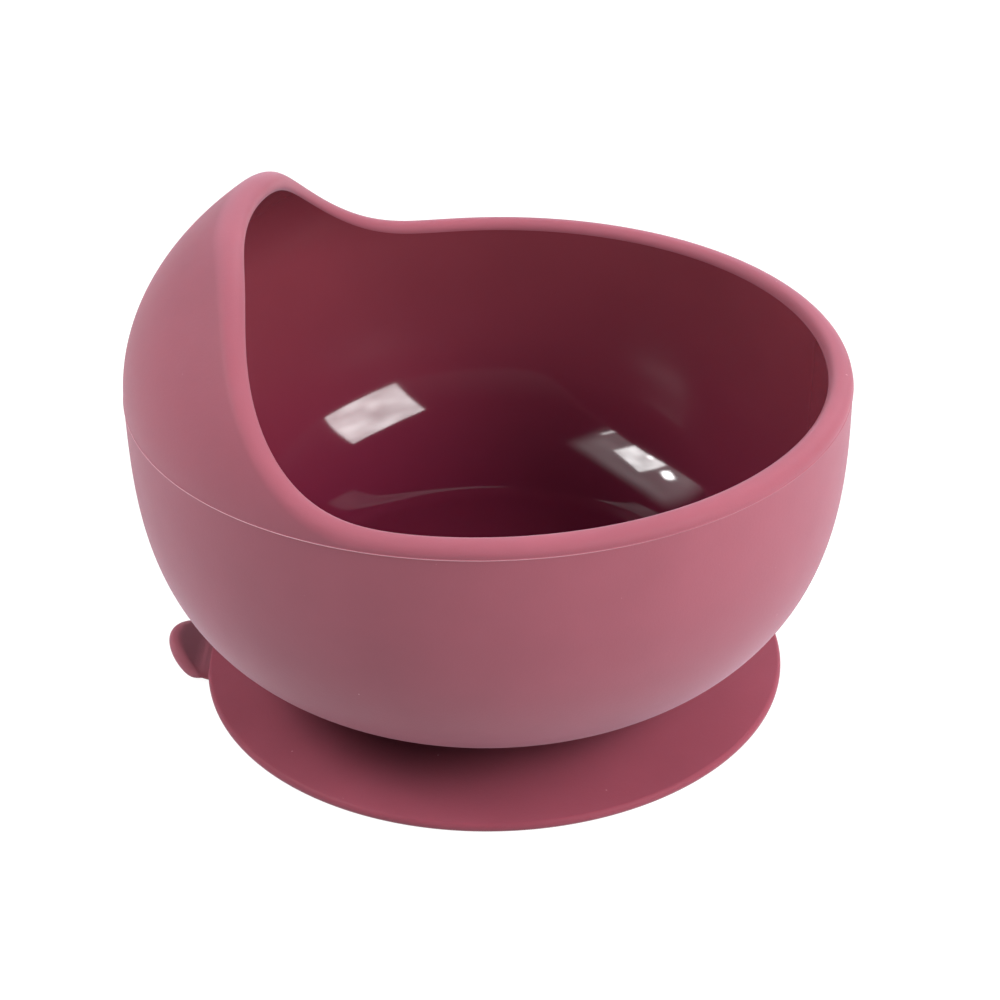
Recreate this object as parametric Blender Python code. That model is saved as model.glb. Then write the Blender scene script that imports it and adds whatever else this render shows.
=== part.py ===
"""Silicone suction bowl for babies: a high-backed bowl on a flexible suction base.

The bowl stands on z = 0 and turns about the Z axis. The high back and the release tab are
at -X, the low lip faces +X, and the XZ plane is the mirror plane. Design values are in
millimetres and are scaled to metres when a mesh is made.
"""

import math

import bmesh
import bpy

MM = 0.001
TURN = 2 * math.pi
COLUMNS = 72
SLOPE_STEP = 0.05

# Bowl: outer surface, widest at the mould line
BOWL_RADIUS = 59.0
MOULD_LINE_Z = 56.1
LOWER_DEPTH = 52.0
LOWER_POWER = 3.04
UPPER_HEIGHT = 39.9
UPPER_POWER = 1.95
UNDERSIDE_Z = 9.2
UNDERSIDE_CORNER_RADIUS = 40.0

# Bowl: inner surface
WALL = 3.95
INNER_DEPTH = 48.0
INNER_HEIGHT = 35.2
FLOOR_Z = 12.6
FLOOR_CORNER_RADIUS = 38.4
WALL_SPACING_POWER = 1.5

# Bowl: rim, which climbs to the high back
RIM_STEP = 0.9
RIM_CROWN = 1.35
RIM_SHOULDER = 1.1
RIM_LAND = 0.3
RIM_INNER_RADIUS = 1.6
BACK_RISE = 27.4
BACK_SLACK = 5.3
BACK_SLACK_ANGLE = math.radians(50)
BACK_HALF_ANGLE = math.radians(58.1)
BACK_POWER = 5.6

# Suction base
BASE_RADIUS = 49.7
HUB_RADIUS = 21.7
HUB_TOP = 8.0
HUB_UNDERSIDE = 3.6
HUB_CHAMFER = 1.2
SKIRT_BORE = 22.0
SKIRT_ROOT_TOP = 5.4
SKIRT_ROOT_UNDERSIDE = 3.4
SKIRT_DOME_POWER = 1.6
SKIRT_EDGE_TOP = 1.7
SEAL_RING_INNER = 45.5

# Bond between hub and bowl, a gap of JOINT_GAP from each
JOINT_GAP = 0.3
BOND_RADIUS = 18.0

# Release tab, hinged along a chord of the skirt's edge
TAB_HALF_WIDTH = 9.0
TAB_LENGTH = 5.5
TAB_THICKNESS = 1.9
TAB_ROOT_SLOPE = math.tan(math.radians(15))
TAB_CURL = 0.04
HINGE_Z = 1.15
TAB_CHORD = 48.9
HINGE_X = -(TAB_CHORD + JOINT_GAP + TAB_THICKNESS / 2)

ROSE = (0.45, 0.135, 0.165, 1.0)
ROSE_DARK = (0.34, 0.09, 0.115, 1.0)
CLEAR_GLUE = (0.62, 0.42, 0.44, 1.0)


def clear_scene():
    for obj in list(bpy.data.objects):
        bpy.data.objects.remove(obj, do_unlink=True)


def silicone(name, colour, roughness):
    material = bpy.data.materials.new(name)
    material.use_nodes = True
    shader = material.node_tree.nodes["Principled BSDF"]
    shader.inputs["Base Color"].default_value = colour
    shader.inputs["Roughness"].default_value = roughness
    shader.inputs["Metallic"].default_value = 0.0
    return material


def oval(radius, depth, power, distance):
    """Radius of a squared-off oval at a distance from its widest level."""
    return radius * (1 - (distance / depth) ** power) ** (1 / power)


def oval_distance(radius, depth, power, at_radius):
    """The distance from the widest level at which the oval has a given radius."""
    return depth * (1 - (at_radius / radius) ** power) ** (1 / power)


def outer_radius(z):
    if z < MOULD_LINE_Z:
        return oval(BOWL_RADIUS, LOWER_DEPTH, LOWER_POWER, MOULD_LINE_Z - z)
    return oval(BOWL_RADIUS, UPPER_HEIGHT, UPPER_POWER, z - MOULD_LINE_Z)


def inner_radius(z):
    if z < MOULD_LINE_Z:
        return oval(BOWL_RADIUS - WALL, INNER_DEPTH, LOWER_POWER, MOULD_LINE_Z - z)
    return oval(BOWL_RADIUS - WALL, INNER_HEIGHT, UPPER_POWER, z - MOULD_LINE_Z)


def spread(low, high, count):
    """Evenly spaced values from low to high, both included."""
    return [low + (high - low) * i / (count - 1) for i in range(count)]


def rounded_corner(surface, flat_z, radius, depth, corner_radius, count):
    """Points from a flat disc at flat_z, round a corner, on to a surface below the mould line."""
    end_z = MOULD_LINE_Z - oval_distance(radius, depth, LOWER_POWER, corner_radius)
    slope = SLOPE_STEP / (surface(end_z + SLOPE_STEP) - surface(end_z))
    bend = corner_radius - (end_z - flat_z) / slope
    start = bend - (corner_radius - bend)
    points = []
    for t in spread(0.0, 1.0, count):
        r = start * (1 - t) ** 2 + 2 * bend * t * (1 - t) + corner_radius * t**2
        z = flat_z * (1 - t**2) + end_z * t**2
        points.append((r, z))
    return points


def back_angle(azimuth):
    """Angle from the middle of the high back, which is at -X."""
    turned = abs(azimuth - math.pi) % TURN
    return min(turned, TURN - turned)


def rim_height(azimuth):
    """Level at which the outer surface would end if the rim were flat."""
    angle = back_angle(azimuth)
    climb = math.exp(-((angle / BACK_HALF_ANGLE) ** BACK_POWER))
    rise = BACK_RISE - BACK_SLACK * (angle / BACK_SLACK_ANGLE) ** 2
    return MOULD_LINE_Z + RIM_STEP + rise * climb


def rounded(start, corner, end, count):
    """Quarter of an ellipse that leaves start toward the corner and arrives at end."""
    points = []
    for angle in spread(0.0, math.pi / 2, count):
        back = 1 - math.sin(angle)
        on = 1 - math.cos(angle)
        point_r = corner[0] + (start[0] - corner[0]) * back + (end[0] - corner[0]) * on
        point_z = corner[1] + (start[1] - corner[1]) * back + (end[1] - corner[1]) * on
        points.append((point_r, point_z))
    return points


def rim_section(azimuth):
    """The rounded rim, from where it leaves the outside to where the inner wall begins."""
    z = rim_height(azimuth)
    r = outer_radius(z)
    lean = (outer_radius(z + SLOPE_STEP) - r) / SLOPE_STEP
    size = math.hypot(1, lean)
    up = (lean / size, 1 / size)
    outer_corner = (r + up[0] * RIM_CROWN, z + up[1] * RIM_CROWN)
    inner_z = outer_corner[1] + up[0] * WALL
    inner_corner = (inner_radius(inner_z), inner_z)
    low_z = z - min(max(z - MOULD_LINE_Z - RIM_LAND, 0.0), RIM_SHOULDER)
    crest = (inner_corner[0] + up[1] * RIM_INNER_RADIUS, inner_z - up[0] * RIM_INNER_RADIUS)
    end_z = inner_z - up[1] * RIM_INNER_RADIUS
    outside = rounded((outer_radius(low_z), low_z), outer_corner, crest, 5)
    return outside + rounded(crest, inner_corner, (inner_radius(end_z), end_z), 4)[1:]


def bowl_meridian(azimuth):
    """The bowl's section at one azimuth: underside, outside, rim, inside, floor."""
    bottom = rounded_corner(
        outer_radius, UNDERSIDE_Z, BOWL_RADIUS, LOWER_DEPTH, UNDERSIDE_CORNER_RADIUS, 4
    )
    rim = rim_section(azimuth)
    floor = rounded_corner(
        inner_radius, FLOOR_Z, BOWL_RADIUS - WALL, INNER_DEPTH, FLOOR_CORNER_RADIUS, 4
    )
    section = [(BOND_RADIUS, UNDERSIDE_Z)] + bottom
    section += wall_points(outer_radius, bottom[-1][1], rim[0][1], 16)[1:-1]
    section += rim
    section += wall_points(inner_radius, floor[-1][1], rim[-1][1], 14)[-2:0:-1]
    section += floor[::-1] + [(BOND_RADIUS, FLOOR_Z)]
    return section


def wall_points(surface, low, high, count):
    """Points up a wall, closer together near the bottom, where it curves most."""
    levels = [low + (high - low) * t**WALL_SPACING_POWER for t in spread(0.0, 1.0, count)]
    return [(surface(z), z) for z in levels]


def new_object(name, build, material):
    mesh = bpy.data.meshes.new(name)
    bm = bmesh.new()
    build(bm)
    bmesh.ops.recalc_face_normals(bm, faces=bm.faces)
    bmesh.ops.triangulate(bm, faces=bm.faces)
    bm.to_mesh(mesh)
    bm.free()
    mesh.shade_smooth()
    mesh.set_sharp_from_angle(angle=math.radians(35))
    mesh.materials.append(material)
    obj = bpy.data.objects.new(name, mesh)
    bpy.context.scene.collection.objects.link(obj)
    return obj


def ring_of(bm, section, azimuth):
    cos, sin = math.cos(azimuth), math.sin(azimuth)
    return [bm.verts.new((r * cos * MM, r * sin * MM, z * MM)) for r, z in section]


def join_rings(bm, rings, closed_section):
    """Faces between neighbouring sections, all the way round."""
    rows = len(rings[0])
    last = rows if closed_section else rows - 1
    for i, ring in enumerate(rings):
        after = rings[(i + 1) % len(rings)]
        for k in range(last):
            up = (k + 1) % rows
            bm.faces.new((ring[k], after[k], after[up], ring[up]))


def cap_on_axis(bm, rings, row):
    """A flat cap from one row of the sections to the Z axis."""
    centre = bm.verts.new((0.0, 0.0, rings[0][row].co.z))
    for i, ring in enumerate(rings):
        bm.faces.new((ring[row], rings[(i + 1) % len(rings)][row], centre))


def turned_solid(section_at, columns):
    """A builder for a solid whose section runs from the axis, round the outside, to the axis."""

    def build(bm):
        rings = [ring_of(bm, section_at(TURN * i / columns), TURN * i / columns) for i in range(columns)]
        join_rings(bm, rings, closed_section=False)
        cap_on_axis(bm, rings, 0)
        cap_on_axis(bm, rings, -1)

    return build


def turned_ring(section_at, columns):
    """A builder for a ring whose closed section goes round the Z axis."""

    def build(bm):
        rings = [ring_of(bm, section_at(TURN * i / columns), TURN * i / columns) for i in range(columns)]
        join_rings(bm, rings, closed_section=True)

    return build


def hub_section(_azimuth):
    return [
        (HUB_RADIUS - HUB_CHAMFER, HUB_UNDERSIDE),
        (HUB_RADIUS, HUB_UNDERSIDE + HUB_CHAMFER / 2),
        (HUB_RADIUS, HUB_TOP - 2 * HUB_CHAMFER),
        (HUB_RADIUS - HUB_CHAMFER, HUB_TOP),
    ]


def bond_section(_azimuth):
    return [(BOND_RADIUS, HUB_TOP + JOINT_GAP), (BOND_RADIUS, UNDERSIDE_Z - JOINT_GAP)]


def skirt_section(azimuth):
    """Skirt section: bore, conical top, rounded lip, flat seal ring, domed underside."""
    off_back = back_angle(azimuth)
    edge = BASE_RADIUS
    if off_back < math.pi / 4:
        edge = min(edge, TAB_CHORD / math.cos(off_back))
    lip = SKIRT_EDGE_TOP / 2
    section = [(SKIRT_BORE, SKIRT_ROOT_UNDERSIDE), (SKIRT_BORE, SKIRT_ROOT_TOP)]
    for t in spread(0.25, 1.0, 4):
        r = SKIRT_BORE + (edge - lip - SKIRT_BORE) * t
        section.append((r, SKIRT_ROOT_TOP + (SKIRT_EDGE_TOP - SKIRT_ROOT_TOP) * t))
    for angle in spread(math.pi / 4, -math.pi / 2, 4):
        section.append((edge - lip + lip * math.cos(angle), lip + lip * math.sin(angle)))
    section.append((SEAL_RING_INNER, 0.0))
    for t in spread(0.25, 0.75, 3):
        r = SEAL_RING_INNER + (SKIRT_BORE - SEAL_RING_INNER) * t
        section.append((r, SKIRT_ROOT_UNDERSIDE * (1 - (1 - t) ** SKIRT_DOME_POWER)))
    return section


def tab_section(y):
    """Closed section of the tab at one station across its width, as (x, z)."""
    half = TAB_THICKNESS / 2
    along = spread(0.0, 1.0, 4)[1:-1]
    reach = TAB_LENGTH * math.sqrt(1 - (y / (TAB_HALF_WIDTH + half / 2)) ** 2)
    quarter = math.pi / 2
    section = [(half * math.sin(a), half * math.cos(a)) for a in spread(0, 2 * quarter, 6)]
    section += [(-reach * t, -half) for t in along]
    section += [(-reach - half * math.sin(a), -half * math.cos(a)) for a in spread(0, 2 * quarter, 6)]
    section += [(-reach * t, half) for t in along[::-1]]
    lifted = []
    for x, z in section:
        out = max(-x, 0.0)
        lifted.append((HINGE_X + x, HINGE_Z + z + TAB_ROOT_SLOPE * out + TAB_CURL * out**2))
    return lifted


def build_tab(bm):
    stations = [TAB_HALF_WIDTH * math.sin(a) for a in spread(-math.pi / 2, math.pi / 2, 15)]
    rings = []
    for y in stations:
        rings.append([bm.verts.new((x * MM, y * MM, z * MM)) for x, z in tab_section(y)])
    for ring, after in zip(rings, rings[1:]):
        for k in range(len(ring)):
            up = (k + 1) % len(ring)
            bm.faces.new((ring[k], after[k], after[up], ring[up]))
    bm.faces.new(rings[0])
    bm.faces.new(rings[-1])


def put_origin(obj, x, z):
    """Moves an object's origin to a point in the mirror plane; the shape stays in place."""
    for vertex in obj.data.vertices:
        vertex.co.x -= x * MM
        vertex.co.z -= z * MM
    obj.location = (x * MM, 0.0, z * MM)


def main():
    clear_scene()
    rose = silicone("rose_silicone", ROSE, 0.62)
    rose_dark = silicone("rose_silicone_base", ROSE_DARK, 0.62)
    glue = silicone("silicone_adhesive", CLEAR_GLUE, 0.4)
    new_object("bowl_shell", turned_solid(bowl_meridian, COLUMNS), rose)
    new_object("bond_disc", turned_solid(bond_section, COLUMNS // 2), glue)
    hub = new_object("base_hub", turned_solid(hub_section, COLUMNS), rose_dark)
    put_origin(hub, 0.0, HUB_UNDERSIDE)
    new_object("suction_skirt", turned_ring(skirt_section, COLUMNS), rose_dark)
    tab = new_object("release_tab", build_tab, rose_dark)
    put_origin(tab, HINGE_X, HINGE_Z)


main()
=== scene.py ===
"""Looks of the silicone suction bowl: fine meshes, silicone materials, studio light and camera.

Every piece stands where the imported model's node stands. Lengths in this file are millimetres
in the same frame as the CAD, and MM turns them into metres.
"""

import math

import bpy
import numpy as np
from mathutils import Matrix, Vector


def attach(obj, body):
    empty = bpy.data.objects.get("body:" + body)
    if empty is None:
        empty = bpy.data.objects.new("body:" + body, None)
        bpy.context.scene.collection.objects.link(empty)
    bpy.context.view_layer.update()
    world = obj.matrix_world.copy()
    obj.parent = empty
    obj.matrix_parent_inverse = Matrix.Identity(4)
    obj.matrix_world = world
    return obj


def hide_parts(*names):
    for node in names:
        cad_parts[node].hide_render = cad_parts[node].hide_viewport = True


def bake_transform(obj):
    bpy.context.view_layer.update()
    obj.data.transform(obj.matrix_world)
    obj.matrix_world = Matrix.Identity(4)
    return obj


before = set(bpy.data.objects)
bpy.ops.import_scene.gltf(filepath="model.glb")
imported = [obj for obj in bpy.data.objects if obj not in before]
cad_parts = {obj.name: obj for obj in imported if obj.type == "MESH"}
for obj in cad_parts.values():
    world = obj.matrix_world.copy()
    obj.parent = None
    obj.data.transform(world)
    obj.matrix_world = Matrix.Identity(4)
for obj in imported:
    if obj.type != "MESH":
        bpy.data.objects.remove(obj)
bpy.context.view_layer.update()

MM = 0.001
TURN = 2 * math.pi
SHARP_ANGLE = math.radians(40)

# Bowl surfaces, as in the CAD
BOWL_RADIUS = 59.0
MOULD_LINE_Z = 56.1
LOWER_DEPTH = 52.0
LOWER_POWER = 3.04
UPPER_HEIGHT = 39.9
UPPER_POWER = 1.95
UNDERSIDE_Z = 9.2
UNDERSIDE_CORNER_RADIUS = 40.0
WALL = 3.95
INNER_DEPTH = 48.0
INNER_HEIGHT = 35.2
FLOOR_Z = 12.6
FLOOR_CORNER_RADIUS = 38.4
RIM_STEP = 0.9
RIM_CROWN = 1.35
RIM_SHOULDER = 1.1
RIM_LAND = 0.3
RIM_INNER_RADIUS = 1.6
BACK_RISE = 27.4
BACK_SLACK = 5.3
BACK_SLACK_ANGLE = math.radians(50)
BACK_HALF_ANGLE = math.radians(58.1)
BACK_POWER = 5.6

# Rows of the bowl's mesh along its section. A crowding over 1 draws them toward the low end.
BOWL_COLUMNS = 288
BOTTOM_CORNER_ROWS = 12
LOWER_WALL_ROWS = 64
LOWER_WALL_CROWDING = 1.4
MOULD_ROWS = 13
MOULD_ROWS_REACH = 0.22
UPPER_WALL_ROWS = 30
UPPER_WALL_LEAST = 0.05
RIM_ROWS = 14
INNER_WALL_ROWS = 100
INNER_WALL_CROWDING = 1.3
FLOOR_CORNER_ROWS = 16
DISC_SHARES = np.linspace(0.3, 0.78, 5)

# Raised line that the mould's joint leaves round the widest diameter. A painted highlight in a
# paler colour runs along it, faint at +X and strongest toward -X.
MOULD_RIDGE_HEIGHT = 0.1
MOULD_RIDGE_HALF_WIDTH = 0.1
HIGHLIGHT_LINE_HALF_WIDTH = 0.055
HIGHLIGHT_FAINT_X = 30.0
HIGHLIGHT_STRONG_X = -20.0
HIGHLIGHT_LEAST = 0.1

# Suction base. Its hub is a profile of (radius, z): the hollow underside with a gate mark in
# the middle, and the top with the recess for the glue.
BASE_COLUMNS = 240
HUB_UNDERSIDE = [(0.6, 3.3), (1.1, 3.35), (1.4, 3.6), (2.5, 3.62), (10.0, 3.62), (19.0, 3.6), (21.0, 3.5)]
HUB_TOP = [(21.0, 9.0), (20.8, 9.13), (18.8, 9.13), (18.6, 9.0), (18.6, 8.2), (17.5, 8.1), (6.0, 8.1)]
DOME_INNER_RADIUS = 22.0
DOME_OUTER_RADIUS = 45.5
DOME_HEIGHT = 3.4
DOME_POWER = 1.6
LIP_FLAT_RADIUS = 47.0
LIP_RADIUS = 49.7
LIP_EDGE_RADIUS = 0.85
LIP_TOP_ANGLE = math.radians(84.6)
CONE_OUTER_RADIUS = 48.8
CONE_OUTER_Z = 1.7
CONE_INNER_RADIUS = 25.0
CONE_INNER_Z = 5.2
CONE_FIRST_ROW = 48.5
CONE_LAST_ROW = 25.5
NECK_RADIUS = 21.0
NECK_FLARE = 4.4
NECK_FOOT_Z = 5.25
NECK_HEIGHT = 3.2
NECK_FIRST_ANGLE = 0.15
SKIRT_ROWS = 30
LIP_ROWS = 22
NECK_ROWS = 16

# Pull tab, a cupped ear with a bead round its edge. Pairs are the start and end of a fade.
HINGE_X = -50.15
HINGE_Z = 1.15
TAB_HALF_WIDTH = 8.6
TAB_REACH = 5.55
TAB_TAPER = 0.72
TAB_ROOT = 2.4
TAB_BEAD = 1.05
TAB_BEAD_POWER = 6
TAB_BEAD_LEAST = 0.02
TAB_SLOPE = math.tan(math.radians(36))
TAB_BEND = (0.0, 1.2)
TAB_LEVEL_BEFORE_EDGE = (2.2, 0.4)
TAB_CUP = 0.4
TAB_UNDERCUT = 0.2
TAB_CUP_FROM_EDGE = (0.3, 2.0)
TAB_CUP_FROM_HINGE = (-0.4, 1.6)
TAB_SINK = 0.75
TAB_SINK_X = (-1.2, 1.4)
TAB_COLUMNS = 61
TAB_BEAD_ROWS = 15
TAB_FLAT_ROWS = 40
TAB_STEPS = 80

# Colours, linear
ROSE = (0.212, 0.0575, 0.0785)
# Rose of the base, darkened from the bowl's rose as a painted shade for its place under the bowl.
SHADED_BASE_ROSE = (0.178, 0.036, 0.0545)
WINE = (0.144, 0.0252, 0.0365)
# Painted shade for the inside of the bowl near its floor.
SHADED_WINE = (0.08, 0.0068, 0.0195)
# Paler colour of the painted highlight along the mould line.
MOULD_LINE_HIGHLIGHT_COLOUR = (0.55, 0.31, 0.35)
LINT_COLOUR = (0.7, 0.5, 0.53)
ADHESIVE_DARK = (0.55, 0.36, 0.38)
ADHESIVE_LIGHT = (0.66, 0.45, 0.47)
PAPER_DARK = (0.1, 0.1, 0.1)
PAPER_LIGHT = (0.12, 0.12, 0.12)
HORIZON_GREY = (0.3, 0.3, 0.31)
CEILING_GREY = (0.01, 0.01, 0.01)
WHITE = (1.0, 1.0, 1.0)
SKY_BLUE = (0.75, 1.0, 1.0)
SHEEN_TINT = (0.95, 0.82, 1.0, 1.0)

# Silicone. Light scatters under its skin, further in red, over SCATTER_DEPTH metres. Inside
# the bowl a painted shade darkens the colour toward the floor, and the polish improves toward it.
SCATTER_RADIUS = (1.0, 0.3, 0.25)
SCATTER_DEPTH = 0.0022
SILICONE_IOR = 1.41
SHADE_DARKEST_Z = FLOOR_Z - 4.0
SHADE_ENDS_Z = 62.0
POLISHED_TO_Z = 27.0
SATIN_FROM_Z = 38.0
SATIN_ROUGHNESS = 0.19

# Camera
CAMERA_AZIMUTH = math.radians(2.64)
CAMERA_ELEVATION = math.radians(30.28)
CAMERA_ROLL = math.radians(-1.115)
CAMERA_DISTANCE = 404.1
CAMERA_AIM = Vector((1.53, 0.07, 31.6))
CAMERA_LENS = 86.5
SENSOR_WIDTH = 36.0

# Studio, in metres
LIGHT_DISTANCE = 0.8
LIGHT_CENTRE = Vector((0.0, 0.0, 0.04))
FLOOR_CLEARANCE = 0.0002
NEAREST_SEEN = 0.01


# ---------------------------------------------------------------- surfaces


def oval(radius, depth, power, distance):
    return radius * np.clip(1 - (distance / depth) ** power, 0, None) ** (1 / power)


def outer_radius(z):
    z = np.asarray(z, float)
    below = oval(BOWL_RADIUS, LOWER_DEPTH, LOWER_POWER, np.clip(MOULD_LINE_Z - z, 0, None))
    above = oval(BOWL_RADIUS, UPPER_HEIGHT, UPPER_POWER, np.clip(z - MOULD_LINE_Z, 0, None))
    return np.where(z < MOULD_LINE_Z, below, above)


def inner_radius(z):
    z = np.asarray(z, float)
    top = BOWL_RADIUS - WALL
    below = oval(top, INNER_DEPTH, LOWER_POWER, np.clip(MOULD_LINE_Z - z, 0, None))
    above = oval(top, INNER_HEIGHT, UPPER_POWER, np.clip(z - MOULD_LINE_Z, 0, None))
    return np.where(z < MOULD_LINE_Z, below, above)


def slope(surface, z, step=0.02):
    return (surface(z + step) - surface(z - step)) / (2 * step)


def level_of(radius, depth, at_radius):
    """Level below the mould line at which a surface has a given radius."""
    return MOULD_LINE_Z - depth * (1 - (at_radius / radius) ** LOWER_POWER) ** (1 / LOWER_POWER)


def rounded_corner(surface, flat_z, radius, depth, corner_radius, count):
    """(r, z) from the edge of a flat disc, round its corner, on to the wall."""
    end_z = level_of(radius, depth, corner_radius)
    bend = corner_radius - (end_z - flat_z) * slope(surface, end_z)
    start = 2 * bend - corner_radius
    t = np.linspace(0, 1, count)
    r = start * (1 - t) ** 2 + 2 * bend * t * (1 - t) + corner_radius * t**2
    return np.stack([r, flat_z * (1 - t**2) + end_z * t**2], -1)


def back_angle(azimuth):
    """Angle from the middle of the high back, which is at -X."""
    turned = np.abs(azimuth - math.pi) % TURN
    return np.minimum(turned, TURN - turned)


def rim_height(azimuth):
    angle = back_angle(azimuth)
    climb = math.exp(-((angle / BACK_HALF_ANGLE) ** BACK_POWER))
    rise = BACK_RISE - BACK_SLACK * (angle / BACK_SLACK_ANGLE) ** 2
    return MOULD_LINE_Z + RIM_STEP + rise * climb


def wall_point(surface, z):
    return np.array([surface(z), z])


def rounded(start, corner, end, count):
    """Quarter of an ellipse that leaves start toward the corner and arrives at end."""
    angle = np.linspace(0, math.pi / 2, count)[:, None]
    return corner + (start - corner) * (1 - np.sin(angle)) + (end - corner) * (1 - np.cos(angle))


def rim_section(azimuth, count):
    """The rounded rim, from where it leaves the outside to where the inner wall begins."""
    z = rim_height(azimuth)
    lean = slope(outer_radius, z)
    up = np.array([lean, 1.0]) / math.hypot(1, lean)
    inward = np.array([-up[1], up[0]])
    outer_corner = wall_point(outer_radius, z) + up * RIM_CROWN
    inner_corner = wall_point(inner_radius, outer_corner[1] + inward[1] * WALL)
    low = wall_point(outer_radius, z - np.clip(z - MOULD_LINE_Z - RIM_LAND, 0, RIM_SHOULDER))
    crest = inner_corner - inward * RIM_INNER_RADIUS
    inner_end = wall_point(inner_radius, inner_corner[1] - up[1] * RIM_INNER_RADIUS)
    outer_round = rounded(low, outer_corner, crest, count)
    inner_round = rounded(crest, inner_corner, inner_end, count)
    return np.concatenate([outer_round, inner_round[1:]])


def mould_ridge(z):
    """How far the mould line stands proud of the outer surface."""
    return MOULD_RIDGE_HEIGHT * np.exp(-(((z - MOULD_LINE_Z) / MOULD_RIDGE_HALF_WIDTH) ** 2))


def outer_wall(low, high):
    """(r, z) up the outside, with close rows at the mould line."""
    under = MOULD_LINE_Z - MOULD_ROWS_REACH
    over = MOULD_LINE_Z + MOULD_ROWS_REACH
    low_rows = low + (under - low) * np.linspace(0, 1, LOWER_WALL_ROWS) ** LOWER_WALL_CROWDING
    line_rows = np.linspace(under, over, MOULD_ROWS)
    top_rows = np.linspace(over, max(high, over + UPPER_WALL_LEAST), UPPER_WALL_ROWS)
    z = np.concatenate([low_rows[1:], line_rows[1:], top_rows[1:-1]])
    return np.stack([outer_radius(z) + mould_ridge(z), z], -1)


def inner_wall(low, high):
    """(r, z) down the inside, from the rim to the corner of the floor."""
    z = low + (high - low) * np.linspace(0, 1, INNER_WALL_ROWS) ** INNER_WALL_CROWDING
    return np.stack([inner_radius(z), z], -1)[-2:0:-1]


def flat_disc(edge_radius, z):
    """(r, z) rows on a flat disc, short of its middle and its edge."""
    return np.stack([edge_radius * DISC_SHARES, np.full(len(DISC_SHARES), z)], -1)


def bowl_section(azimuth):
    """The section at one azimuth, and the row at which the polished inside begins."""
    bottom = rounded_corner(
        outer_radius, UNDERSIDE_Z, BOWL_RADIUS, LOWER_DEPTH, UNDERSIDE_CORNER_RADIUS, BOTTOM_CORNER_ROWS
    )
    floor = rounded_corner(
        inner_radius, FLOOR_Z, BOWL_RADIUS - WALL, INNER_DEPTH, FLOOR_CORNER_RADIUS, FLOOR_CORNER_ROWS
    )
    rim = rim_section(azimuth, RIM_ROWS)
    under_disc = flat_disc(bottom[0, 0], UNDERSIDE_Z)
    floor_disc = flat_disc(floor[0, 0], FLOOR_Z)
    outside = [under_disc, bottom, outer_wall(bottom[-1, 1], rim[0, 1]), rim]
    inside = [inner_wall(floor[-1, 1], rim[-1, 1]), floor[::-1], floor_disc[::-1]]
    first_inside = sum(len(part) for part in outside)
    return np.concatenate(outside + inside), first_inside


# ---------------------------------------------------------------- meshes


def mesh_object(name, points, faces, materials, face_material=None):
    """An object from points in millimetres, smooth but for its sharp edges."""
    mesh = bpy.data.meshes.new(name)
    mesh.from_pydata((np.asarray(points) * MM).tolist(), [], faces)
    for material in materials:
        mesh.materials.append(material)
    if face_material is not None:
        mesh.polygons.foreach_set("material_index", face_material)
    mesh.validate()
    mesh.shade_smooth()
    mesh.set_sharp_from_angle(angle=SHARP_ANGLE)
    obj = bpy.data.objects.new(name, mesh)
    bpy.context.scene.collection.objects.link(obj)
    return obj


def turned(name, sections, materials, polished_from=None):
    """A closed solid from one section per azimuth, each running from axis to axis."""
    columns, rows = len(sections), len(sections[0])
    azimuth = np.arange(columns) * TURN / columns
    r, z = sections[..., 0], sections[..., 1]
    x, y = r * np.cos(azimuth)[:, None], r * np.sin(azimuth)[:, None]
    ends = [[0, 0, sections[0, 0, 1]], [0, 0, sections[0, -1, 1]]]
    points = np.concatenate([np.stack([x, y, z], -1).reshape(-1, 3), ends])
    faces, slots = [], []
    for i in range(columns):
        j = (i + 1) % columns
        for k in range(rows - 1):
            faces.append((i * rows + k, j * rows + k, j * rows + k + 1, i * rows + k + 1))
            slots.append(int(polished_from is not None and k + 1 >= polished_from))
        faces.append((j * rows, i * rows, columns * rows))
        slots.append(0)
        faces.append((i * rows + rows - 1, j * rows + rows - 1, columns * rows + 1))
        slots.append(int(polished_from is not None))
    return mesh_object(name, points, faces, materials, slots)


def lofted(name, rings, materials):
    """A closed solid from closed rings, capped at both ends."""
    count, size = rings.shape[:2]
    faces = []
    for i in range(count - 1):
        for k in range(size):
            up = (k + 1) % size
            faces.append((i * size + k, (i + 1) * size + k, (i + 1) * size + up, i * size + up))
    faces.append(tuple(reversed(range(size))))
    faces.append(tuple((count - 1) * size + k for k in range(size)))
    return mesh_object(name, rings.reshape(-1, 3), faces, materials)


# ---------------------------------------------------------------- materials


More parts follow.
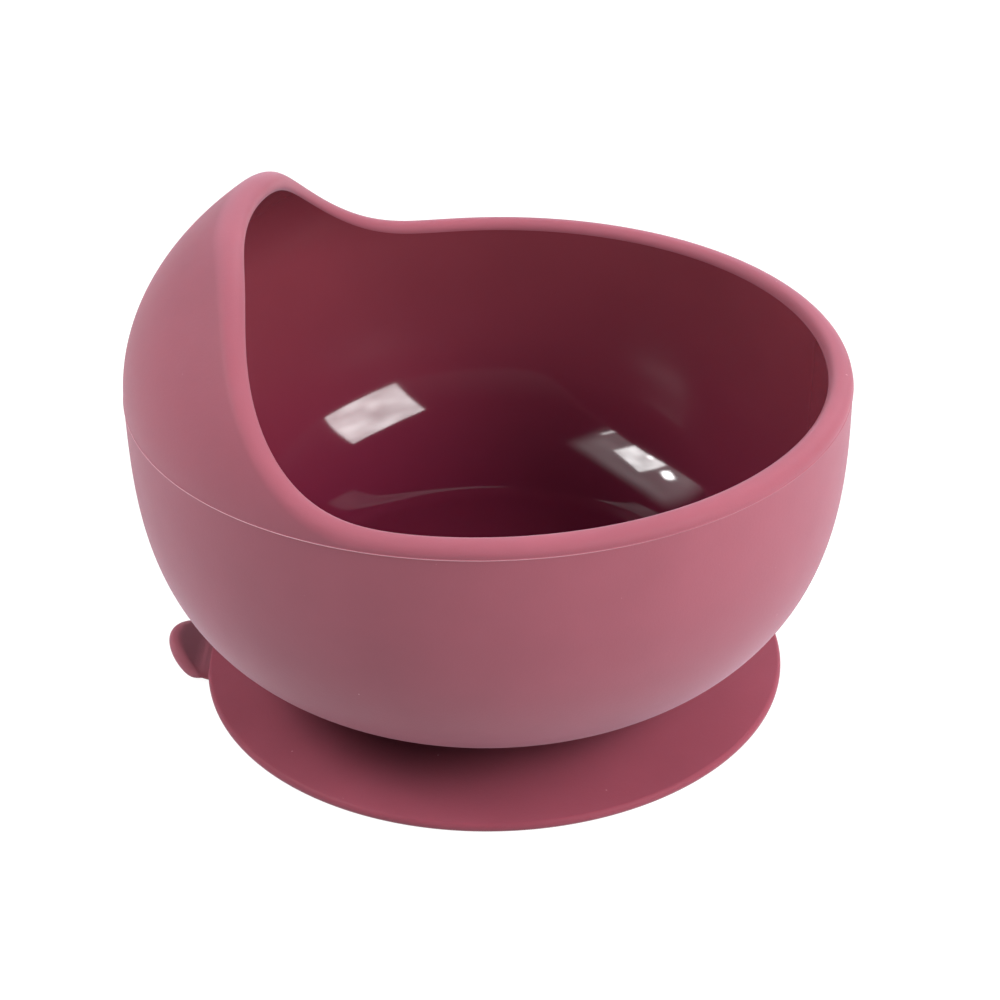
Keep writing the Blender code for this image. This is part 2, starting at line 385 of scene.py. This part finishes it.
class Nodes:
    """Short calls for building one node tree."""

    def __init__(self, tree):
        self.tree = tree

    def add(self, kind, **settings):
        node = self.tree.nodes.new(kind)
        for key, value in settings.items():
            setattr(node, key, value)
        return node

    def link(self, source, target):
        self.tree.links.new(source, target)

    def place(self):
        return self.add("ShaderNodeTexCoord").outputs["Object"]

    def axes(self, vector):
        axes = self.add("ShaderNodeSeparateXYZ")
        self.link(vector, axes.inputs["Vector"])
        return axes.outputs

    def noise(self, scale, detail, roughness=0.5, vector=None):
        noise = self.add("ShaderNodeTexNoise")
        noise.inputs["Scale"].default_value = scale
        noise.inputs["Detail"].default_value = detail
        noise.inputs["Roughness"].default_value = roughness
        self.link(self.place() if vector is None else vector, noise.inputs["Vector"])
        return noise.outputs["Fac"]

    def ramp(self, factor, stops):
        ramp = self.add("ShaderNodeValToRGB")
        elements = ramp.color_ramp.elements
        for element, (position, colour) in zip(elements, stops):
            element.position = position
            element.color = (*colour, 1.0)
        self.link(factor, ramp.inputs["Fac"])
        return ramp.outputs["Color"]

    def spread(self, factor, low, high, start=0.0, end=1.0, kind="LINEAR"):
        """A factor that runs from start to end, made to run from low to high."""
        spread = self.add("ShaderNodeMapRange", interpolation_type=kind)
        spread.inputs["From Min"].default_value = start
        spread.inputs["From Max"].default_value = end
        spread.inputs["To Min"].default_value = low
        spread.inputs["To Max"].default_value = high
        self.link(factor, spread.inputs["Value"])
        return spread.outputs["Result"]

    def compute(self, operation, first, second):
        result = self.add("ShaderNodeMath", operation=operation)
        self.link(first, result.inputs[0])
        self.link(second, result.inputs[1])
        return result.outputs[0]

    def mix(self, factor, first, second):
        """Two colours mixed, each of them a value or another node's output."""
        mix = self.add("ShaderNodeMix", data_type="RGBA")
        self.link(factor, mix.inputs["Factor"])
        for colour, socket in ((first, mix.inputs[6]), (second, mix.inputs[7])):
            if isinstance(colour, tuple):
                socket.default_value = (*colour, 1.0)
            else:
                self.link(colour, socket)
        return mix.outputs[2]

    def bump(self, height, distance, strength=1.0, below=None):
        bump = self.add("ShaderNodeBump")
        bump.inputs["Distance"].default_value = distance
        bump.inputs["Strength"].default_value = strength
        self.link(height, bump.inputs["Height"])
        if below is not None:
            self.link(below, bump.inputs["Normal"])
        return bump.outputs["Normal"]


class Surface(Nodes):
    """A material with one Principled shader."""

    def __init__(self, name):
        self.material = bpy.data.materials.new(name)
        self.material.use_nodes = True
        super().__init__(self.material.node_tree)
        self.shader = self.tree.nodes["Principled BSDF"]

    def feed(self, socket, source):
        self.link(source, self.shader.inputs[socket])

    def set(self, **values):
        for key, value in values.items():
            self.shader.inputs[key.replace("_", " ")].default_value = value

    def cloudy(self, dark, light, scale, detail):
        """A colour that wanders slowly between two tints."""
        return self.ramp(self.noise(scale, detail), [(0.3, dark), (0.7, light)])


def tinted(colour, factor):
    return tuple(channel * factor for channel in colour)


def matte_silicone(name, colour, sheen, highlight_z=None):
    """Moulded silicone with a spark-eroded matte finish, a little lint, and an optional painted highlight
    along the mould line.
    """
    nodes = Surface(name)
    tint = nodes.cloudy(tinted(colour, 0.95), tinted(colour, 1.05), scale=55, detail=3)
    lint = nodes.noise(scale=1100, detail=1, roughness=0.3)
    speck = nodes.ramp(lint, [(0.83, (0, 0, 0)), (0.86, (0.35, 0.35, 0.35))])
    tint = nodes.mix(speck, tint, LINT_COLOUR)
    if highlight_z is not None:
        # painted highlight: a paler colour along the mould line
        tint = nodes.mix(mould_line_highlight(nodes, highlight_z), tint, MOULD_LINE_HIGHLIGHT_COLOUR)
    nodes.feed("Base Color", tint)
    patchy = nodes.noise(scale=120, detail=4)
    nodes.feed("Roughness", nodes.spread(patchy, 0.48, 0.6))
    pores = nodes.bump(nodes.noise(scale=1500, detail=2), distance=0.00002, strength=0.5)
    grain = nodes.noise(scale=5200, detail=2)
    nodes.feed("Normal", nodes.bump(grain, distance=0.00003, strength=0.5, below=pores))
    nodes.set(IOR=1.32, Specular_IOR_Level=0.26)
    nodes.set(Subsurface_Weight=0.15, Subsurface_Scale=SCATTER_DEPTH, Subsurface_Radius=SCATTER_RADIUS)
    nodes.set(Sheen_Weight=sheen, Sheen_Roughness=0.5, Sheen_Tint=SHEEN_TINT)
    return nodes.material


def mould_line_highlight(nodes, level):
    """1 on a painted highlight along the mould line at one level, strongest toward -X and uneven along it.
    """
    axes = nodes.axes(nodes.place())
    line = nodes.add("ShaderNodeMath", operation="COMPARE")
    line.inputs[1].default_value = level * MM
    line.inputs[2].default_value = HIGHLIGHT_LINE_HALF_WIDTH * MM
    nodes.link(axes["Z"], line.inputs[0])
    stronger_at_minus_x = nodes.spread(axes["X"], HIGHLIGHT_LEAST, 1.0, HIGHLIGHT_FAINT_X * MM, HIGHLIGHT_STRONG_X * MM)
    uneven = nodes.spread(nodes.noise(scale=40, detail=2), 0.2, 1.6)
    return nodes.compute("MULTIPLY", nodes.compute("MULTIPLY", line.outputs[0], stronger_at_minus_x), uneven)


def polished_silicone(name, colour, shaded_colour):
    """The same silicone where the mould is polished: clear reflections, and a painted shade that darkens it
    toward the floor.
    """
    nodes = Surface(name)
    level = nodes.axes(nodes.place())["Z"]
    tint = nodes.cloudy(tinted(colour, 0.94), tinted(colour, 1.06), scale=35, detail=2)
    # painted shade: the colour darkens toward the bowl's floor
    height = nodes.spread(level, 0.0, 1.0, SHADE_DARKEST_Z * MM, SHADE_ENDS_Z * MM, "SMOOTHSTEP")
    nodes.feed("Base Color", nodes.mix(height, shaded_colour, tint))
    smudge = nodes.spread(nodes.noise(scale=70, detail=5, roughness=0.6), 0.04, 0.08)
    satin = nodes.spread(level, 0.0, SATIN_ROUGHNESS, POLISHED_TO_Z * MM, SATIN_FROM_Z * MM, "SMOOTHSTEP")
    nodes.feed("Roughness", nodes.compute("ADD", smudge, satin))
    nodes.feed("Normal", nodes.bump(nodes.noise(scale=90, detail=1), distance=0.0001, strength=0.25))
    nodes.set(IOR=SILICONE_IOR, Specular_IOR_Level=0.75)
    nodes.set(Subsurface_Weight=0.2, Subsurface_Scale=SCATTER_DEPTH, Subsurface_Radius=SCATTER_RADIUS)
    return nodes.material


def cured_adhesive(name):
    nodes = Surface(name)
    nodes.feed("Base Color", nodes.cloudy(ADHESIVE_DARK, ADHESIVE_LIGHT, scale=300, detail=3))
    nodes.feed("Normal", nodes.bump(nodes.noise(scale=900, detail=3), distance=0.00005))
    nodes.set(Roughness=0.3, IOR=SILICONE_IOR, Subsurface_Weight=0.3, Subsurface_Scale=0.001)
    return nodes.material


def sweep_paper(name):
    """White studio paper, lit from behind so that it stays white under the object."""
    nodes = Surface(name)
    nodes.feed("Base Color", nodes.cloudy(PAPER_DARK, PAPER_LIGHT, scale=20, detail=2))
    nodes.set(Roughness=0.8, Emission_Color=(*WHITE, 1.0), Emission_Strength=0.95)
    return nodes.material


# ---------------------------------------------------------------- camera, light, floor


def facing(away, roll):
    """The rotation that points an object's back along a direction, then rolls it."""
    return away.to_track_quat("Z", "Y").to_matrix().to_4x4() @ Matrix.Rotation(roll, 4, "Z")


def studio_camera():
    """The photograph's view: 30 degrees down, straight at the side of the bowl."""
    azimuth = CAMERA_AZIMUTH
    away = Vector((math.sin(azimuth), -math.cos(azimuth), 0)) * math.cos(CAMERA_ELEVATION)
    away.z = math.sin(CAMERA_ELEVATION)
    data = bpy.data.cameras.new("camera")
    data.lens = CAMERA_LENS
    data.sensor_width = SENSOR_WIDTH
    data.clip_start = NEAREST_SEEN
    camera = bpy.data.objects.new("camera", data)
    stand = (CAMERA_AIM + away * CAMERA_DISTANCE) * MM
    camera.matrix_world = Matrix.Translation(stand) @ facing(away, CAMERA_ROLL)
    bpy.context.scene.collection.objects.link(camera)
    bpy.context.scene.camera = camera


def feather(data, share):
    """Fade a light toward its edges, over a share of its width and height."""
    data.use_nodes = True
    nodes = Nodes(data.node_tree)
    place = nodes.add("ShaderNodeNewGeometry").outputs["Parametric"]
    axes = nodes.axes(place)
    fades = []
    for axis in "XY":
        from_edge = nodes.add("ShaderNodeMath", operation="PINGPONG")
        from_edge.inputs[1].default_value = 0.5
        nodes.link(axes[axis], from_edge.inputs[0])
        fades.append(nodes.spread(from_edge.outputs[0], 0.0, 1.0, end=share, kind="SMOOTHSTEP"))
    folds = nodes.noise(scale=2.6, detail=1.0, vector=place)
    shade = nodes.spread(folds, 0.65, 1.25, start=0.3, end=0.7)
    strength = nodes.compute("MULTIPLY", nodes.compute("MULTIPLY", *fades), shade)
    nodes.link(strength, nodes.tree.nodes["Emission"].inputs["Strength"])


def softbox(name, azimuth, elevation, width, height, radiance, roll=0, edge=0, colour=WHITE, mirrored=True):
    """A rectangle of light that points at the bowl, sized by the angles it spans there."""
    a, e = math.radians(azimuth), math.radians(elevation)
    away = Vector((math.cos(a) * math.cos(e), math.sin(a) * math.cos(e), math.sin(e)))
    data = bpy.data.lights.new(name, "AREA")
    data.shape = "RECTANGLE"
    data.size = 2 * LIGHT_DISTANCE * math.tan(math.radians(width / 2))
    data.size_y = 2 * LIGHT_DISTANCE * math.tan(math.radians(height / 2))
    data.color = colour
    data.energy = radiance * math.pi * data.size * data.size_y
    if edge:
        feather(data, edge)
    light = bpy.data.objects.new(name, data)
    stand = away * LIGHT_DISTANCE + LIGHT_CENTRE
    light.matrix_world = Matrix.Translation(stand) @ facing(away, math.radians(roll))
    light.visible_camera = False
    light.visible_glossy = mirrored
    bpy.context.scene.collection.objects.link(light)


def studio_lights():
    """Two windows that mirror in the bowl, a dim ceiling, and large soft fills."""
    softbox("key_right", -36.5, 30.2, width=33, height=24.5, radiance=12.2, roll=8, edge=0.04)
    softbox("key_left", -173.5, 45.5, width=15.5, height=17, radiance=14.0, edge=0.06)
    softbox("key_left_spill", -177, 47.0, width=52, height=34, radiance=1.8, roll=14, edge=0.2)
    softbox("key_left_bulb", 169.5, 43.6, width=6.4, height=5.4, radiance=60.0, edge=0.4)
    softbox("key_left_lamp", -175.2, 44.2, width=3, height=3, radiance=25.0, edge=0.4)
    softbox("key_left_rib", -148.8, 42.7, width=1.8, height=12, radiance=9.0, roll=-22, edge=0.2)
    softbox("ceiling_back", 58, 62.7, width=36, height=10, radiance=0.5, roll=15, edge=0.08)
    softbox("ceiling_left", 120, 53.3, width=25, height=10, radiance=0.55, edge=0.08)
    softbox("side_right", -12, 36, width=46, height=20, radiance=14.2, mirrored=False)
    softbox("back_right", 62, 34, width=36, height=22, radiance=7.0, mirrored=False)
    softbox("side_left", 180, 40, width=36, height=30, radiance=7.4, mirrored=False)
    softbox("overhead", -90, 68, width=60, height=40, radiance=1.2, colour=SKY_BLUE, mirrored=False)


def studio_world():
    """White to the camera, and a grey low horizon under a dark ceiling to everything else."""
    world = bpy.data.worlds.new("studio")
    bpy.context.scene.world = world
    world.use_nodes = True
    world.node_tree.nodes.clear()
    nodes = Nodes(world.node_tree)
    place = nodes.add("ShaderNodeTexCoord").outputs["Generated"]
    room = nodes.add("ShaderNodeBackground")
    shade = nodes.ramp(nodes.axes(place)["Z"], [(0.05, HORIZON_GREY), (0.55, CEILING_GREY)])
    nodes.link(shade, room.inputs["Color"])
    paper = nodes.add("ShaderNodeBackground")
    paper.inputs["Color"].default_value = (*WHITE, 1.0)
    mix = nodes.add("ShaderNodeMixShader")
    nodes.link(nodes.add("ShaderNodeLightPath").outputs["Is Camera Ray"], mix.inputs["Fac"])
    nodes.link(room.outputs["Background"], mix.inputs[1])
    nodes.link(paper.outputs["Background"], mix.inputs[2])
    out = nodes.add("ShaderNodeOutputWorld")
    nodes.link(mix.outputs["Shader"], out.inputs["Surface"])


def studio_floor():
    half = 4000.0
    corners = [(-half, -half, 0), (half, -half, 0), (half, half, 0), (-half, half, 0)]
    floor = mesh_object("studio_floor", corners, [(0, 1, 2, 3)], [sweep_paper("sweep_paper")])
    floor.location.z = -FLOOR_CLEARANCE


# ---------------------------------------------------------------- pieces


def make_bowl(matte, polished):
    azimuths = np.arange(BOWL_COLUMNS) * TURN / BOWL_COLUMNS
    made = [bowl_section(azimuth) for azimuth in azimuths]
    sections = np.array([section for section, _ in made])
    first_inside = made[0][1]
    bowl = turned("bowl", sections, [matte, polished], first_inside)
    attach(bowl, "bowl")
    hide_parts("bowl_shell")


def base_section():
    """Hub and skirt in one moulding, from the underside's middle to the glue recess."""
    dome = []
    for r in np.linspace(DOME_INNER_RADIUS, DOME_OUTER_RADIUS, SKIRT_ROWS):
        outward = (r - DOME_INNER_RADIUS) / (DOME_OUTER_RADIUS - DOME_INNER_RADIUS)
        dome.append((r, DOME_HEIGHT * (1 - outward**DOME_POWER)))
    lip = []
    for angle in np.linspace(-math.pi / 2, LIP_TOP_ANGLE, LIP_ROWS):
        r = LIP_RADIUS - LIP_EDGE_RADIUS + LIP_EDGE_RADIUS * math.cos(angle)
        lip.append((r, LIP_EDGE_RADIUS + LIP_EDGE_RADIUS * math.sin(angle)))
    cone = []
    for r in np.linspace(CONE_FIRST_ROW, CONE_LAST_ROW, SKIRT_ROWS):
        outward = (r - CONE_INNER_RADIUS) / (CONE_OUTER_RADIUS - CONE_INNER_RADIUS)
        cone.append((r, CONE_INNER_Z - (CONE_INNER_Z - CONE_OUTER_Z) * outward))
    neck = []
    for angle in np.linspace(NECK_FIRST_ANGLE, math.pi / 2, NECK_ROWS):
        r = NECK_RADIUS + NECK_FLARE * (1 - math.sin(angle))
        neck.append((r, NECK_FOOT_Z + NECK_HEIGHT * (1 - math.cos(angle))))
    lip_flat = [(LIP_FLAT_RADIUS, 0.0)]
    return np.array(HUB_UNDERSIDE + dome + lip_flat + lip + cone + neck + HUB_TOP)


def make_base(matte):
    sections = np.repeat(base_section()[None], BASE_COLUMNS, 0)
    base = turned("suction_base", sections, [matte])
    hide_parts("base_hub", "suction_skirt")
    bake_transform(base)


def smooth(value, low, high):
    t = np.clip((value - low) / (high - low), 0, 1)
    return t * t * (3 - 2 * t)


def tab_rise(out, reach):
    """How high the tab's middle has climbed at a distance out from the hinge."""
    steps = np.linspace(0, TAB_REACH + TAB_BEAD, TAB_STEPS)
    level_from, level_to = (reach - before for before in TAB_LEVEL_BEFORE_EDGE)
    tilt = TAB_SLOPE * smooth(steps, *TAB_BEND) * (1 - smooth(steps, level_from, level_to))
    return np.interp(out, steps, np.cumsum(tilt) * steps[1])


def tab_ring(y):
    """Closed section of the tab at one station across its width: a cupped ear with a bead."""
    side = abs(y) / TAB_HALF_WIDTH
    reach = TAB_REACH * max(1 - side**2, 0.0) ** TAB_TAPER
    bead = TAB_BEAD * math.sqrt(max(1 - side**TAB_BEAD_POWER, TAB_BEAD_LEAST))
    angle = np.linspace(0, math.pi, TAB_BEAD_ROWS)
    along = np.linspace(0.0, 1.0, TAB_FLAT_ROWS + 2)[1:-1]
    flat = TAB_ROOT - (TAB_ROOT + reach) * along
    x = np.concatenate([TAB_ROOT + bead * np.sin(angle), flat, -reach - bead * np.sin(angle), flat[::-1]])
    ends = bead * np.cos(angle)
    face = np.full(TAB_FLAT_ROWS, bead)
    z = np.concatenate([ends, -face, -ends, face])
    out = np.clip(-x, 0, None)
    cupped = smooth(reach - out, *TAB_CUP_FROM_EDGE) * smooth(-x, *TAB_CUP_FROM_HINGE)
    cup = np.where(z > 0, TAB_CUP, -TAB_UNDERCUT) * cupped * np.abs(z) / bead
    sink = TAB_SINK * smooth(x, *TAB_SINK_X) * (z / bead + 1) / 2
    return np.stack([HINGE_X + x, np.full_like(x, y), HINGE_Z + z + tab_rise(out, reach) - cup - sink], -1)


def make_tab(matte):
    stations = TAB_HALF_WIDTH * np.sin(np.linspace(-math.pi / 2, math.pi / 2, TAB_COLUMNS))
    tab = lofted("pull_tab", np.array([tab_ring(y) for y in stations]), [matte])
    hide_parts("release_tab")
    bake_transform(tab)


studio_camera()
studio_world()
studio_floor()
studio_lights()
bpy.context.scene.view_settings.view_transform = "Standard"

rose = matte_silicone("matte_rose_silicone", ROSE, sheen=0.155, highlight_z=MOULD_LINE_Z)
# the base takes the darker rose, a painted shade
shaded_base_rose = matte_silicone("base_rose_silicone", SHADED_BASE_ROSE, sheen=0.12)
wine = polished_silicone("polished_rose_silicone", WINE, SHADED_WINE)
make_bowl(rose, wine)
make_base(shaded_base_rose)
make_tab(rose)
bond_disc = bpy.data.objects["bond_disc"]
bond_disc.data.materials.clear()
bond_disc.data.materials.append(cured_adhesive("cured_adhesive"))
